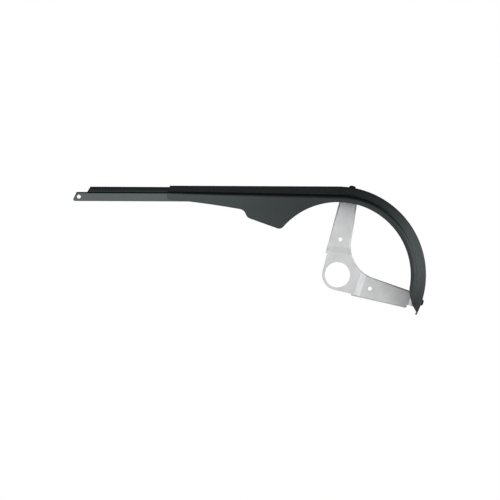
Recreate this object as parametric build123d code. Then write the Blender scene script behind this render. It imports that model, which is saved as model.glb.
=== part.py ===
from build123d import *
import os
from math import atan2, cos, degrees, radians, sin, tan

# Telescoping bicycle chain guard: a moulded shell over the chainring, a rear extension
# that slides in its tail, and a folded bracket that the bottom bracket cup clamps.
# Millimetres and degrees. The origin is on the bottom bracket axis, at the bracket's
# seat face. +X points to the front of the bicycle, -Y to its outside, +Z up.

# Guard shell: rim about the bottom bracket axis, and the straight tail
wall = 1.6
rim_radius = 122.4
rim_back_y = 2.0
rim_corner_radius = 3.0
panel_strip = 1.6
tail_length = 236.5
tail_end_rake = 23.0
tail_heel_radius = 4.0

# Guard section where the arc begins, and at the rear end of the tail
band_tilt = 30.0
corner_y_front = -15.6
corner_y_rear = -13.8
band_height_front = 12.4
band_height_rear = 9.1
roll_height_front = 8.0
roll_height_rear = 3.0
roll_depth_front = 5.0
roll_depth_rear = 2.5

# Lower edge of the side panel, with its step and fin, down from the rim's top
heel_depth = 19.0
lower_edge_bow = 1.15
step_x = -130.5
step_depth = 33.1
step_run = 5.1
step_drop = 10.85
step_inner_radius = 10.0
step_outer_radius = 8.0
fin_slope = 19.5
fin_tip_radius = 8.0

# Front end of the arc
rim_end_angle = -26.8
cut_start_angle = -10.5
cut_tip_angle = -25.2
cut_past_angle = 2.0

# Rear extension
slide_fit = 0.3
extension_wall = 2.0
extension_showing = 131.3
extension_overlap = 109.5
extension_height = 20.1
extension_roll_height = 1.2
extension_roll_depth = 0.5
extension_lip = 4.0
extension_corner_radius = 0.5
tab_rake = 26.0
tab_toe_radius = 2.5
tab_rise = 0.9
tab_length = 20.7
band_end_rake = 29.0
stay_hole_d = 5.2
stay_hole_inset = 9.3
stay_hole_rise = 6.0

# Guides for the extension, moulded inside the tail
lip_depth = 5.5
lip_front_x = -12.0
shoe_length = 12.0
shoe_wall = 1.5
shoe_height = 3.6
shoe_rear_inset = 56.5
shoe_front_inset = 7.0

# Bracket: one folded sheet, alike on both sides of its centre line
sheet = 2.0
bracket_angle = 31.3
bb_bore_d = 35.0
hub_ring = 3.9
arm_angle = 47.0
arm_offset = 5.9
arm_half_width = 15.8
arm_end_half_width = 12.1
arm_end_margin = 1.8
bend_angle = 50.5
flange_depth = 7.0
fold_radius = 2.2
fold_lead = 1.2
crotch_radius = 46.0
jog_round = 0.8
jog_margin = 8.8
jog_run = 8.6
jog_depth = 3.0
end_leg = 12.6
end_jog_run = 2.8
arm_hole_d = 5.5
arm_hole_place = 48.8
arm_hole_shift = 0.25
ear_half_width = 9.0
ear_bend = 1.0
ear_leg = 7.5

# Screws through the rim into the bracket's ears
screw_spread = 49.3
screw_d = 5.0
screw_length = 12.0
screw_play = 0.5
head_d = 9.5
head_height = 2.75
head_edge = 0.5
head_shoulder_d = 7.6
head_shoulder = 1.9
crown_d = 4.8
socket_flats = 3.0
socket_depth = 1.6
nut_flats = 8.0
nut_height = 4.7
nut_play = 0.1
nut_margin = 0.2
pad_height = 1.2
pad_margin = 2.0
ear_reach = 5.0

# Values that follow from the sizes above
inner_edge_radius = rim_radius - band_height_front - roll_height_front - panel_strip
rim_inside = rim_radius - wall
pad_radius = rim_inside - pad_height
pad_half_width = ear_half_width + pad_margin
heel_z = rim_radius - heel_depth
step_z = rim_radius - step_depth
nest = wall + slide_fit
extension_front_x = extension_overlap - tail_length
extension_rear_x = -tail_length - extension_showing
extension_low_z = rim_radius - nest - extension_height
tilt = radians(band_tilt)
half_turn = atan2(extension_roll_depth, extension_roll_height) - tilt / 2
crease_shift = nest * (1 - sin(tilt) - tan(half_turn) * cos(tilt))
extension_band_height = band_height_rear - crease_shift
band_end_x = extension_rear_x + tab_length
stay_hole_x = extension_rear_x + stay_hole_inset
stay_hole_z = extension_low_z + stay_hole_rise
shoe_rear_x = shoe_rear_inset - tail_length
shoe_front_x = extension_front_x - shoe_front_inset
hub_radius = bb_bore_d / 2 + hub_ring
jog_radius = fold_radius + jog_round
jog_start = hub_radius + jog_margin
jog_end = jog_start + jog_run
fold_start = jog_start - jog_radius - fold_lead
end_jog_start = pad_radius - end_leg
end_jog_end = end_jog_start + end_jog_run
arm_end = end_jog_start - arm_end_margin
screw_angles = (bracket_angle + screw_spread, bracket_angle - screw_spread)
screw_hole_d = screw_d + screw_play
nut_bore_d = screw_d + nut_play
screw_y = -(sheet + ear_bend + nut_margin + nut_flats / 2)
beyond = 60.0
touching = 0.01


def polar(radius, angle, y=0.0):
    return Vector(radius * cos(radians(angle)), y, radius * sin(radians(angle)))


def radial_plane(radius, angle, y=0.0):
    """Plane that faces out from the bottom bracket axis, its y axis along +Y."""
    across = (sin(radians(angle)), 0, -cos(radians(angle)))
    return Plane(origin=polar(radius, angle, y), x_dir=across, z_dir=polar(1.0, angle))


def prism(face):
    """The face's outline as a solid right through the part along Y."""
    return extrude(face, amount=beyond, dir=(0, 1, 0), both=True)


def outline_face(*lines):
    return make_face(Wire([edge for line in lines for edge in line.edges()]))


def round_corner(face, corner, radius):
    """Round the corner of a flat face that lies nearest to the given point."""
    nearest = min(face.vertices(), key=lambda v: (Vector(v) - corner).length)
    return fillet(nearest, radius)


# Moulded section


def shoulder_edges(x, corner, low_z, band_height, roll_height, roll_depth):
    """Outer line of the section at x, from the panel's lower edge to the rim's corner."""
    crease = corner - Vector(0, band_height * tan(radians(band_tilt)), band_height)
    panel_top = crease - Vector(0, roll_depth, roll_height)
    panel_low = Vector(x, panel_top.Y, low_z)
    return crease, [Line(panel_low, panel_top), TangentArc(panel_top, crease, tangent=(0, 0, 1))]


def walled(edges, thickness):
    """Section of a wall whose outer side is the given line."""
    return make_face(Wire(edges).offset_2d(thickness, kind=Kind.ARC, side=Side.RIGHT))


def guard_section(x, corner_y, low_z, band_height, roll_height, roll_depth):
    corner = Vector(x, corner_y, rim_radius)
    crease, edges = shoulder_edges(x, corner, low_z, band_height, roll_height, roll_depth)
    back = Vector(x, rim_back_y, rim_radius)
    top = FilletPolyline(crease, corner, back, radius=rim_corner_radius)
    return walled([*edges, *top.edges()], wall)


def front_section(low_z):
    return guard_section(
        0, corner_y_front, low_z, band_height_front, roll_height_front, roll_depth_front
    )


def rear_section(low_z):
    return guard_section(
        -tail_length, corner_y_rear, low_z, band_height_rear, roll_height_rear, roll_depth_rear
    )


def panel_y(x):
    """Outer face of the guard's side panel, which flares out towards the front."""
    lean = tan(radians(band_tilt))
    front = corner_y_front - band_height_front * lean - roll_depth_front
    rear = corner_y_rear - band_height_rear * lean - roll_depth_rear
    return front + (rear - front) * -x / tail_length


# Guard shell


def tail_outline():
    """Side view of the straight tail, with its raked end, stepped lower edge and fin."""
    crease_z = rim_radius - band_height_rear
    top_z = rim_radius + wall
    end_top = Vector(-tail_length + (top_z - crease_z) * tan(radians(tail_end_rake)), 0, top_z)
    end_crease = Vector(-tail_length, 0, crease_z)
    heel = Vector(-tail_length, 0, heel_z)
    step_top = Vector(step_x, 0, step_z)
    step_low = step_top + Vector(step_run, 0, -step_drop)
    fin_end = Vector(0, 0, step_low.Z + step_low.X * tan(radians(fin_slope)))
    top_front = Vector(0, 0, top_z)
    bow = (heel + step_top) / 2 + Vector(0, 0, lower_edge_bow)
    face = outline_face(
        Polyline(fin_end, top_front, end_top, end_crease, heel),
        ThreePointArc(heel, bow, step_top),
        Polyline(step_top, step_low, fin_end),
    )
    face = round_corner(face, heel, tail_heel_radius)
    face = round_corner(face, step_top, step_inner_radius)
    face = round_corner(face, step_low, step_outer_radius)
    face -= Plane.XZ * Circle(inner_edge_radius)
    fin_tip = face.vertices().sort_by(Axis.Z)[0]
    return fillet(fin_tip, fin_tip_radius)


def front_end_cut():
    """Side view of what the arc's front end leaves out, down to the rim's thin wall."""
    start = polar(inner_edge_radius, cut_start_angle)
    tip = polar(rim_inside, cut_tip_angle)
    along = polar(rim_inside, (cut_tip_angle + rim_end_angle) / 2)
    past = polar(rim_inside, rim_end_angle - cut_past_angle)
    low = Vector(start.X - beyond, 0, past.Z - beyond)
    high = Vector(start.X - beyond, 0, start.Z)
    return outline_face(
        TangentArc(start, tip, tangent=(0, 0, -1)),
        ThreePointArc(tip, along, past),
        Polyline(past, Vector(past.X, 0, low.Z), low, high, start),
    )


def tail_lip():
    """Turned-down back edge of the tail, which keeps the extension in."""
    height = lip_depth - wall / 2
    length = tail_length + lip_front_x
    lip = Box(length, wall, height, align=(Align.MAX, Align.MAX, Align.MIN))
    return Pos(lip_front_x, rim_back_y, rim_radius - lip_depth) * lip


def guide_shoe(x):
    """Moulded U behind the panel, in which the extension's lower edge slides."""
    panel_face = extension_panel_y()
    inside = panel_face + extension_wall
    back_y = inside + slide_fit + shoe_wall
    seat_z = extension_low_z - slide_fit
    depth = back_y - panel_y(x) - wall / 2
    block = Box(
        shoe_length, depth, shoe_wall + shoe_height, align=(Align.CENTER, Align.MAX, Align.MIN)
    )
    slot = Box(
        2 * shoe_length,
        extension_wall + 2 * slide_fit,
        2 * shoe_height,
        align=(Align.CENTER, Align.MAX, Align.MIN),
    )
    shoe = Pos(x, back_y, seat_z - shoe_wall) * block
    return shoe - Pos(x, inside + slide_fit, seat_z) * slot


def rim_pad(angle):
    """Flat seat for a bracket ear on the inside of the rim."""
    depth = rim_back_y - screw_y + ear_reach
    height = pad_height + wall / 2
    pad = Box(2 * pad_half_width, depth, height, align=(Align.CENTER, Align.MAX, Align.MIN))
    return radial_plane(pad_radius, angle, rim_back_y) * pad


def guard_shell():
    low_z = step_z - beyond
    tail = loft([rear_section(low_z), front_section(low_z)], ruled=True)
    tail = (tail + tail_lip()) & prism(tail_outline())
    arc = revolve(front_section(inner_edge_radius), Axis.Y, 90 - rim_end_angle)
    shell = tail + (arc - prism(front_end_cut()))
    shell += guide_shoe(shoe_rear_x)
    shell += guide_shoe(shoe_front_x)
    for angle in screw_angles:
        shell += rim_pad(angle)
        hole = Cylinder(screw_hole_d / 2, beyond)
        shell -= radial_plane(rim_radius, angle, screw_y) * hole
    return shell


# Rear extension


def extension_corner():
    shift = nest * tan(radians(45 - band_tilt / 2))
    return Vector(extension_front_x, corner_y_rear + shift, rim_radius - nest)


def extension_panel_y():
    lean = extension_band_height * tan(radians(band_tilt))
    return extension_corner().Y - lean - extension_roll_depth


def extension_outline():
    """Side view of the extension: raked tab, raked end of the band, square front end."""
    corner = extension_corner()
    crease_z = corner.Z - extension_band_height
    top_z = corner.Z + wall
    toe = Vector(extension_rear_x, 0, extension_low_z)
    tab_height = crease_z + tab_rise - toe.Z
    tab_top = toe + Vector(tab_height * tan(radians(tab_rake)), 0, tab_height)
    band_low = Vector(band_end_x, 0, tab_top.Z)
    band_rise = top_z - tab_top.Z
    band_top = band_low + Vector(band_rise * tan(radians(band_end_rake)), 0, band_rise)
    front_top = Vector(extension_front_x, 0, top_z)
    front_low = Vector(extension_front_x, 0, extension_low_z)
    face = outline_face(
        Polyline(toe, tab_top, band_low, band_top, front_top, front_low, close=True)
    )
    face = round_corner(face, toe, tab_toe_radius)
    return face - Plane.XZ * Pos(stay_hole_x, stay_hole_z) * Circle(stay_hole_d / 2)


def rear_extension():
    corner = extension_corner()
    crease, edges = shoulder_edges(
        corner.X,
        corner,
        extension_low_z,
        extension_band_height,
        extension_roll_height,
        extension_roll_depth,
    )
    back = Vector(corner.X, rim_back_y - nest, corner.Z)
    lip_end = back - Vector(0, 0, extension_lip)
    corner_radii = (rim_corner_radius - nest, extension_corner_radius)
    top = FilletPolyline(crease, corner, back, lip_end, radius=corner_radii)
    section = walled([*edges, *top.edges()], extension_wall)
    length = extension_front_x - extension_rear_x
    return extrude(section, amount=length, dir=(-1, 0, 0)) & prism(extension_outline())


# Bracket, drawn with its centre line along +X and turned to its place at the end


def turned(angle, along, across, y):
    turn = radians(angle)
    return Vector(along * cos(turn) - across * sin(turn), y, along * sin(turn) + across * cos(turn))


def on_arm(along, across, y=0.0):
    """Point of the upper arm: along its axis from the bore, and across it, outward positive."""
    return turned(arm_angle, along, arm_offset + across, y)


def on_bend(along, across=0.0, y=0.0):
    """The same, from the line that the upper arm's bends are square to."""
    return turned(bend_angle, along, across, y)


def arm_width(along):
    """Half the arm's width over its folded edges."""
    taper = (arm_half_width - arm_end_half_width) / (arm_end - jog_end)
    return arm_half_width - taper * (along - jog_end)


def mirrored(shape):
    return mirror(shape, about=Plane.XY)


def crotch_void():
    """The open V between the arms, rounded at its root."""
    far = arm_end + beyond
    near = on_arm(0, -arm_width(0))
    end = on_arm(far, -arm_width(far))
    root = Vector(near.X - near.Z * (end.X - near.X) / (end.Z - near.Z), 0, 0)
    face = outline_face(Polyline(root, end, Vector(end.X, 0, -end.Z), close=True))
    return round_corner(face, root, crotch_radius)


def outer_edge(along, inset=0.0):
    return on_arm(along, arm_width(along) - inset)


def past_arm():
    """What the arm's end leaves out of its plan, square to the bends."""
    far = arm_end + beyond
    return outline_face(
        Polyline(
            on_bend(arm_end, -beyond),
            on_bend(arm_end, beyond),
            on_bend(far, beyond),
            on_bend(far, -beyond),
            close=True,
        )
    )


def half_plan():
    """Plan of the upper half: hub and arm."""
    hub = Plane.XZ * Circle(hub_radius)
    start = outer_edge(fold_start)
    plate = outer_edge(fold_start, fold_radius)
    tip = outer_edge(end_jog_end)
    lean = atan2(tip.Z - start.Z, tip.X - start.X)
    tangent = polar(hub_radius, degrees(lean) + 90)
    far = on_arm(end_jog_end, -arm_width(end_jog_end))
    arm = outline_face(
        Polyline(
            Vector(0, 0, 0),
            tangent,
            plate,
            start,
            tip,
            far,
            Vector(far.X, 0, 0),
            close=True,
        )
    )
    upper = hub + (arm - past_arm()) - crotch_void()
    return upper - Plane.XZ * Pos(0, -beyond) * Rectangle(4 * beyond, 2 * beyond)


def jog_line(depth_shift=0.0):
    """Front face of the sheet along the upper arm, seen from the side."""
    front = depth_shift - sheet
    points = (
        on_bend(-beyond, y=front),
        on_bend(jog_start, y=front),
        on_bend(jog_end, y=front + jog_depth),
        on_bend(end_jog_start, y=front + jog_depth),
        on_bend(end_jog_end, y=front),
        on_bend(rim_radius + wall, y=front),
    )
    return FilletPolyline(*points, radius=jog_radius)


def across_arm(face):
    return extrude(face, amount=beyond, dir=on_bend(0, 1), both=True)


def sheet_slab():
    """The jogged sheet as a wide strip."""
    return across_arm(make_face(jog_line().wire().offset_2d(sheet, side=Side.LEFT)))


def flange_slab():
    """As deep as the folded edges, and jogged as the sheet is."""
    front = jog_line()
    back = jog_line(flange_depth)
    ends = [Line(front @ 0, back @ 0), Line(front @ 1, back @ 1)]
    return across_arm(outline_face(*front.edges(), *back.edges(), *ends))


def flange_plan():
    """Plan of the folded edges: one along the arm's outer side, one round the crotch."""
    outer = outline_face(
        Polyline(
            outer_edge(fold_start),
            outer_edge(end_jog_end),
            outer_edge(end_jog_end, sheet),
            outer_edge(fold_start, sheet),
            close=True,
        )
    )
    void = crotch_void()
    crotch = offset(void, sheet, kind=Kind.INTERSECTION) - void
    keep = outline_face(
        Polyline(
            Vector(0, 0, 0),
            on_arm(0, 0),
            on_arm(end_jog_end, 0),
            on_arm(end_jog_end, -beyond),
            Vector(end_jog_end + beyond, 0, 0),
            close=True,
        )
    )
    return outer + (crotch & keep) - past_arm()


def fold_edges(whole):
    """Front edges of the folds, along the arms' outer sides and round the crotch."""
    outer = Line(outer_edge(fold_start), outer_edge(end_jog_end))
    crotch = crotch_void().wire()
    front = jog_line().wire()
    turn = radians(bend_angle)
    found = []
    for edge in whole.edges():
        middle = edge @ 0.5
        plan = Vector(middle.X, 0, abs(middle.Z))
        along = plan.X * cos(turn) + plan.Z * sin(turn)
        on_fold = min(outer.distance_to(plan), crotch.distance_to(plan)) < touching
        on_front = front.distance_to(on_bend(along, y=middle.Y)) < touching
        if on_fold and on_front:
            found.append(edge)
    return found


def bracket_ear():
    """Folded end of the tab: a leg in the sheet's plane, then the ear against the rim's pad."""
    seat = radial_plane(pad_radius, screw_spread)

    def fold(y, z, radius):
        points = (Vector(0, y, -ear_leg), Vector(0, y, z), Vector(0, screw_y - ear_reach, z))
        return FilletPolyline(*[seat.from_local_coords(point) for point in points], radius=radius)

    outer = fold(0, 0, ear_bend + sheet)
    inner = fold(-sheet, -sheet, ear_bend)
    section = outline_face(outer, Line(outer @ 1, inner @ 1), inner, Line(inner @ 0, outer @ 0))
    return extrude(section, amount=ear_half_width, both=True)


def tab_plan():
    """Plan of the narrow tab that carries the ear past the arm's end."""
    end = radial_plane(pad_radius - ear_leg, screw_spread)
    return outline_face(
        Polyline(
            on_arm(arm_hole_place, ear_half_width),
            end.from_local_coords(Vector(-ear_half_width, 0, 0)),
            end.from_local_coords(Vector(ear_half_width, 0, 0)),
            on_arm(arm_hole_place, -ear_half_width),
            close=True,
        )
    )


def arm_holes():
    """Bores of the upper arm: one through the sheet, one through the ear."""
    place = on_arm(arm_hole_place, arm_hole_shift)
    through_sheet = Plane.XZ * Pos(place.X, place.Z) * Cylinder(arm_hole_d / 2, beyond)
    through_ear = radial_plane(pad_radius, screw_spread, screw_y) * Cylinder(screw_hole_d / 2, beyond)
    return through_sheet + through_ear


def bracket():
    slab = sheet_slab()
    half = (prism(half_plan()) & slab) + (prism(flange_plan()) & flange_slab())
    whole = half + mirrored(half)
    whole = fillet(fold_edges(whole), fold_radius)
    tab = (prism(tab_plan()) & slab) + bracket_ear()
    whole += tab + mirrored(tab)
    whole -= arm_holes() + mirrored(arm_holes())
    whole -= Plane.XZ * Cylinder(bb_bore_d / 2, beyond)
    return Rot(0, -bracket_angle, 0) * whole


# Fasteners


def button_screw():
    """M5 button-head screw: underside of the head at z = 0, shank down."""
    shank = screw_d / 2
    rim = head_d / 2
    profile = outline_face(
        Polyline(
            Vector(0, 0, -screw_length),
            Vector(shank, 0, -screw_length),
            Vector(shank, 0, 0),
            Vector(rim, 0, 0),
            Vector(rim, 0, head_edge),
            Vector(head_shoulder_d / 2, 0, head_shoulder),
            Vector(crown_d / 2, 0, head_height),
            Vector(0, 0, head_height),
            close=True,
        )
    )
    screw = revolve(profile, Axis.Z)
    socket = extrude(RegularPolygon(socket_flats / 2, 6, major_radius=False), amount=-socket_depth)
    return screw - Pos(0, 0, head_height) * socket


def hex_nut():
    """M5 nut: upper face at z = 0, two flats square to Y."""
    blank = RegularPolygon(nut_flats / 2, 6, major_radius=False)
    return extrude(blank - Circle(nut_bore_d / 2), amount=-nut_height)


def export_all():
    os.makedirs("parts", exist_ok=True)
    nodes = {
        "guard_shell": guard_shell(),
        "rear_extension": rear_extension(),
        "bottom_bracket_bracket": bracket(),
    }
    for name, angle in zip(("upper", "front"), screw_angles):
        nodes[name + "_screw"] = radial_plane(rim_radius, angle, screw_y) * button_screw()
        nodes[name + "_nut"] = radial_plane(pad_radius - sheet, angle, screw_y) * hex_nut()
    for name, shape in nodes.items():
        export_step(shape, "parts/" + name + ".step")


export_all()
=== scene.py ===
from math import radians

import bpy
from mathutils import Matrix, Vector


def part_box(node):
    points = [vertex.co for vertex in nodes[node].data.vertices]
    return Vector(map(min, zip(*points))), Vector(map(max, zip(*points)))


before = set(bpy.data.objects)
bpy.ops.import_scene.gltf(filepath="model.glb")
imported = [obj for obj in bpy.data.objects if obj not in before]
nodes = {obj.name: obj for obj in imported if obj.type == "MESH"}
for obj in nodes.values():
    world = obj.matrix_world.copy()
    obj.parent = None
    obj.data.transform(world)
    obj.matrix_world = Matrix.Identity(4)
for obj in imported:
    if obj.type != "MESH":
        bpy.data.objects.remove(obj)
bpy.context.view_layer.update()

# Looks of a telescoping bicycle chain guard. Metres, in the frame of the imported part:
# +X to the front of the bicycle, -Y to its outside, +Z up.

scene = bpy.context.scene
scene.view_settings.view_transform = "Standard"

# Sizes of the mouldings that their finish follows: the crease lies under the outer band
shell_low, shell_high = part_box("guard_shell")
tail_end = shell_low[0]
rim_radius = shell_high[2]
extension_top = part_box("rear_extension")[1][2]
band_height_rear = 0.0091
band_height_front = 0.0124
extension_band_height = 0.00837
extension_crease = extension_top - extension_band_height


# Camera: square on to the outer side, from far away, with the tail's slight slope


def make_camera():
    middle = Vector((-0.1215, -0.012, 0.0338))
    distance = 4.5
    slope = 0.0048
    data = bpy.data.cameras.new("camera")
    data.sensor_width = 36.0
    data.lens = 234.0
    camera = bpy.data.objects.new("camera", data)
    scene.collection.objects.link(camera)
    right = Vector((1, 0, slope)).normalized()
    up = Vector((-slope, 0, 1)).normalized()
    back = right.cross(up)
    turn = Matrix((right, up, back)).transposed().to_4x4()
    camera.matrix_world = Matrix.Translation(middle + back * distance) @ turn
    scene.camera = camera


# Materials


class Graph:
    """Short way to build a node tree."""

    def __init__(self, tree):
        self.tree = tree
        tree.nodes.clear()

    def add(self, kind, settings=None, **inputs):
        """New node, with its settings and with its inputs by name."""
        node = self.tree.nodes.new(kind)
        for name, value in (settings or {}).items():
            setattr(node, name, value)
        for name, value in inputs.items():
            self.feed(node.inputs[name.replace("_", " ")], value)
        return node

    def feed(self, socket, value):
        """Link a socket to another node's output, or set it to a constant."""
        if isinstance(value, bpy.types.NodeSocket):
            self.tree.links.new(value, socket)
        else:
            socket.default_value = value

    def feed_all(self, sockets, values):
        for socket, value in zip(sockets, values):
            self.feed(socket, value)

    def place(self):
        return self.add("ShaderNodeTexCoord").outputs["Object"]

    def axes(self, vector):
        return self.add("ShaderNodeSeparateXYZ", Vector=vector).outputs

    def length(self, vector):
        node = self.add("ShaderNodeVectorMath", {"operation": "LENGTH"}, Vector=vector)
        return node.outputs["Value"]

    def math(self, operation, first, second):
        node = self.add("ShaderNodeMath", {"operation": operation})
        self.feed_all(node.inputs, (first, second))
        return node.outputs[0]

    def remap(self, value, start, end, low, high, kind="LINEAR"):
        """Value between start and end, taken to low at the start and to high at the end."""
        node = self.add("ShaderNodeMapRange", {"interpolation_type": kind})
        self.feed_all(node.inputs, (value, start, end, low, high))
        return node.outputs["Result"]

    def ease(self, value, start, end, low, high):
        return self.remap(value, start, end, low, high, "SMOOTHSTEP")

    def noise(self, scale, detail=2.0, stretch=(1, 1, 1)):
        mapping = self.add("ShaderNodeMapping", Vector=self.place(), Scale=stretch)
        place = mapping.outputs[0]
        texture = self.add("ShaderNodeTexNoise", Vector=place, Scale=scale, Detail=detail)
        return texture.outputs["Fac"]

    def spread(self, noise, low, high):
        """Noise, which stays near its middle, spread over a range of its own."""
        usual_low, usual_high = 0.3, 0.7
        return self.remap(noise, usual_low, usual_high, low, high)

    def shades(self, noise, dark, light):
        """Colours from dark to light. The mix node's colour sockets follow those for numbers."""
        node = self.add("ShaderNodeMix", {"data_type": "RGBA"})
        sockets = (node.inputs[0], *node.inputs[6:8])
        self.feed_all(sockets, (self.spread(noise, 0, 1), (*dark, 1), (*light, 1)))
        return node.outputs[2]

    def bump(self, height, distance, normal=None):
        node = self.add("ShaderNodeBump", Height=height, Distance=distance)
        if normal is not None:
            self.feed(node.inputs["Normal"], normal)
        return node.outputs["Normal"]

    def seen(self, unseen_level, seen_level):
        """One level for what the camera, gloss and glass show, another for diffuse light."""
        path = self.add("ShaderNodeLightPath").outputs
        sight = self.math("MAXIMUM", path["Is Camera Ray"], path["Is Glossy Ray"])
        sight = self.math("MAXIMUM", sight, path["Is Transmission Ray"])
        return self.remap(sight, 0.0, 1.0, unseen_level, seen_level)

    def principled(self, **inputs):
        shader = self.add("ShaderNodeBsdfPrincipled", **inputs)
        self.add("ShaderNodeOutputMaterial", Surface=shader.outputs[0])


def new_material(name):
    material = bpy.data.materials.new(name)
    material.use_nodes = True
    return material, Graph(material.node_tree)


def above_crease(g, rear_radius, front_radius):
    """Height over the crease, which runs straight along the tail and then round the arc."""
    x, _, z = g.axes(g.place())
    spoke = g.add("ShaderNodeCombineXYZ", X=g.math("MAXIMUM", x, 0.0), Z=z)
    crease = g.remap(x, tail_end, 0.0, rear_radius, front_radius)
    return g.math("SUBTRACT", g.length(spoke.outputs[0]), crease)


def crease_step(g, height, below, above):
    """Edge of the panel, which stands a little proud of the band. It fades out down the arc."""
    fade_end_z, fade_start_z = 0.078, 0.108
    z = g.axes(g.place())[2]
    step = g.ease(height, -below, above, 1.0, 0.0)
    return g.math("MULTIPLY", step, g.ease(z, fade_end_z, fade_start_z, 0.0, 1.0))


def crowned(g, height):
    """Fall of a slightly bulging band to both sides of its highest line."""
    band_start, highest = 0.001, 0.0035
    aside = g.math("SUBTRACT", g.math("MAXIMUM", height, band_start), highest)
    return g.math("MULTIPLY", g.math("MULTIPLY", aside, aside), -1.0)


def moulded_plastic(name, dark, light, sheen, crease, below, above, depth, crown=0.0):
    """Satin dark moulding: fine spark-eroded grain over a faint flow unevenness."""
    material, g = new_material(name)
    roughness, variation = 0.34, 0.05
    grain = g.noise(scale=2600.0, detail=3.0)
    flow = g.noise(scale=38.0, stretch=(0.35, 1, 1))
    mottle = g.noise(scale=420.0, detail=4.0)
    height = above_crease(g, *crease)
    normal = g.bump(crease_step(g, height, below, above), distance=depth)
    if crown:
        normal = g.bump(crowned(g, height), distance=crown, normal=normal)
    normal = g.bump(flow, distance=0.00012, normal=normal)
    normal = g.bump(grain, distance=0.00003, normal=normal)
    g.principled(
        Base_Color=g.shades(mottle, dark, light),
        Roughness=g.spread(grain, roughness - variation, roughness + variation),
        Specular_IOR_Level=sheen,
        Specular_Tint=(0.88, 1.0, 1.0, 1),
        Normal=normal,
    )
    return material


def plated_sheet(name, dark, light, roughness, metal):
    """Satin plated sheet: a fine rolling grain along the sheet, over a soft cloudy plating."""
    material, g = new_material(name)
    variation = 0.06
    grain = g.noise(scale=900.0, detail=3.0, stretch=(0.06, 1, 1))
    cloud = g.noise(scale=55.0, detail=3.0)
    g.principled(
        Base_Color=g.shades(cloud, dark, light),
        Metallic=metal,
        Roughness=g.spread(grain, roughness - variation, roughness + variation),
        Normal=g.bump(grain, distance=0.000012),
    )
    return material


def blackened_steel(name, dark, light, roughness):
    """Black screw finish with a fine, uneven wear."""
    material, g = new_material(name)
    variation = 0.08
    wear = g.noise(scale=900.0, detail=3.0)
    polish = g.noise(scale=1800.0)
    g.principled(
        Base_Color=g.shades(wear, dark, light),
        Roughness=g.spread(polish, roughness - variation, roughness + variation),
        Specular_IOR_Level=0.15,
        Normal=g.bump(wear, distance=0.00002),
    )
    return material


def dress(node, material, bevel, sharp=35):
    """Give a node its material and softly broken edges, where they are sharper than an angle."""
    thing = nodes[node]
    thing.data.materials.clear()
    thing.data.materials.append(material)
    weld = thing.modifiers.new("weld", "WELD")
    weld.merge_threshold = 0.000001
    edges = thing.modifiers.new("edges", "BEVEL")
    edges.width = bevel
    edges.segments = 2
    edges.limit_method = "ANGLE"
    edges.angle_limit = radians(sharp)
    edges.harden_normals = True


# Floor, walls of light and lamps


def make_floor():
    """Pale floor, whose edge fades into the room. It is open from below."""
    half, z = 2.2, -0.6
    fade_start, fade_end = 0.9, 2.0
    pale_grey = (0.8, 0.8, 0.8, 1)
    glow_level = 0.22
    mesh = bpy.data.meshes.new("floor")
    corners = [(-half, -half, z), (half, -half, z), (half, half, z), (-half, half, z)]
    mesh.from_pydata(corners, [], [(0, 1, 2, 3)])
    floor = bpy.data.objects.new("floor", mesh)
    scene.collection.objects.link(floor)
    material, g = new_material("floor")
    pale = g.add("ShaderNodeBsdfDiffuse", Color=pale_grey)
    glow = g.add("ShaderNodeEmission", Strength=g.seen(0.0, glow_level))
    both = g.add("ShaderNodeAddShader")
    g.feed_all(both.inputs, (pale.outputs[0], glow.outputs[0]))
    clear = g.add("ShaderNodeBsdfTransparent")
    edge = g.add("ShaderNodeMixShader")
    fade = g.ease(g.length(g.place()), fade_start, fade_end, 1.0, 0.0)
    upper_side = g.math("SUBTRACT", 1.0, g.add("ShaderNodeNewGeometry").outputs["Backfacing"])
    solid = g.math("MULTIPLY", fade, upper_side)
    g.feed_all(edge.inputs, (solid, clear.outputs[0], both.outputs[0]))
    g.add("ShaderNodeOutputMaterial", Surface=edge.outputs[0])
    mesh.materials.append(material)


def make_world():
    """White studio walls with a dark ceiling and a grey ground. Their diffuse light is dimmer."""
    ceiling_axis = (0, 0.32, 0.947)
    ceiling_stops = ((0.45, 1.0), (0.56, 0.27), (0.67, 0.16), (0.79, 0.01))
    ground_low, ground_high, ground_level = -0.30, -0.09, 0.62
    diffuse_level = 0.45
    world = bpy.data.worlds.new("studio")
    world.use_nodes = True
    g = Graph(world.node_tree)
    direction = g.add("ShaderNodeTexCoord").outputs["Generated"]
    upward = g.add("ShaderNodeVectorMath", {"operation": "DOT_PRODUCT"})
    g.feed_all(upward.inputs, (direction, ceiling_axis))
    ceiling = g.add("ShaderNodeValToRGB", Fac=upward.outputs["Value"])
    ramp = ceiling.color_ramp.elements
    while len(ramp) < len(ceiling_stops):
        ramp.new(0.5)
    for element, (place, level) in zip(ramp, ceiling_stops):
        element.position = place
        element.color = (level, level, level, 1)
    ground = g.ease(g.axes(direction)[2], ground_low, ground_high, ground_level, 1.0)
    room = g.math("MULTIPLY", ceiling.outputs["Color"], ground)
    strength = g.math("MULTIPLY", room, g.seen(diffuse_level, 1.0))
    background = g.add("ShaderNodeBackground", Color=(1, 1, 1, 1), Strength=strength)
    g.add("ShaderNodeOutputWorld", Surface=background.outputs[0])
    scene.world = world


def soft_lamp(name, place, target, size, power, gloss=True, spread=180):
    """Soft box with a width and a height, aimed at a target. Its light fans out over the spread."""
    data = bpy.data.lights.new(name, "AREA")
    data.shape = "RECTANGLE"
    data.size, data.size_y = size
    data.energy = power
    data.spread = radians(spread)
    lamp = bpy.data.objects.new(name, data)
    scene.collection.objects.link(lamp)
    lamp.visible_camera = False
    lamp.visible_glossy = gloss
    lamp.location = place
    aim = Vector(target) - Vector(place)
    lamp.rotation_euler = aim.to_track_quat("-Z", "Y").to_euler()


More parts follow.
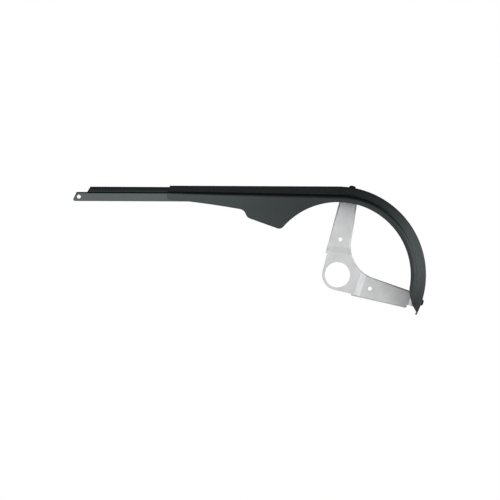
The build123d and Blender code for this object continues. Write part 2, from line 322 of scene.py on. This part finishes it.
make_camera()

guard_plastic = moulded_plastic(
    "guard_plastic",
    dark=(0.0062, 0.0074, 0.0074),
    light=(0.0088, 0.0102, 0.0102),
    sheen=0.50,
    crease=(rim_radius - band_height_rear, rim_radius - band_height_front),
    below=0.0006,
    above=0.0012,
    depth=0.0009,
)
extension_plastic = moulded_plastic(
    "extension_plastic",
    dark=(0.0042, 0.0050, 0.0050),
    light=(0.0064, 0.0074, 0.0074),
    sheen=0.82,
    crease=(extension_crease, extension_crease),
    below=0.0009,
    above=0.0010,
    depth=0.00095,
    crown=16.0,
)
bracket_steel = plated_sheet(
    "bracket_steel",
    dark=(0.55, 0.555, 0.56),
    light=(0.64, 0.645, 0.65),
    roughness=0.42,
    metal=0.38,
)
nut_steel = plated_sheet(
    "nut_steel",
    dark=(0.52, 0.52, 0.52),
    light=(0.58, 0.58, 0.57),
    roughness=0.36,
    metal=0.9,
)
screw_black = blackened_steel(
    "screw_black",
    dark=(0.004, 0.004, 0.004),
    light=(0.008, 0.008, 0.008),
    roughness=0.5,
)

dress("guard_shell", guard_plastic, bevel=0.0003, sharp=24)
dress("rear_extension", extension_plastic, bevel=0.00015)
dress("bottom_bracket_bracket", bracket_steel, bevel=0.00015)
for place in ("upper", "front"):
    dress(place + "_screw", screw_black, bevel=0.0003)
    dress(place + "_nut", nut_steel, bevel=0.0002)

make_floor()
make_world()

# Sheen on the extension and on the rear of the tail
soft_lamp(
    "tail_lamp",
    place=(-0.395, -0.45, 0.11),
    target=(-0.395, 0, 0.11),
    size=(0.50, 0.40),
    power=0.75,
)
# Sheen on the arc's outer band
soft_lamp(
    "right_lamp",
    place=(1.26, -0.455, 0.30),
    target=(0.1, 0, 0.05),
    size=(0.75, 1.0),
    power=2.6,
)
# Fill from the rear of the bicycle
soft_lamp(
    "left_lamp",
    place=(-1.5, -0.3, 0.2),
    target=(0.0, 0, 0.0),
    size=(1.4, 1.0),
    power=7.0,
)
# Gleam on the bracket's front jog
soft_lamp(
    "low_lamp",
    place=(0.76, -0.95, -0.28),
    target=(0.045, 0, -0.015),
    size=(0.50, 0.45),
    power=0.30,
)
# Main light, with a grid that keeps it off the floor
soft_lamp(
    "key_lamp",
    place=(1.30, -0.80, -0.20),
    target=(0.05, 0, 0.0),
    size=(1.0, 0.6),
    power=4.8,
    gloss=False,
    spread=80,
)
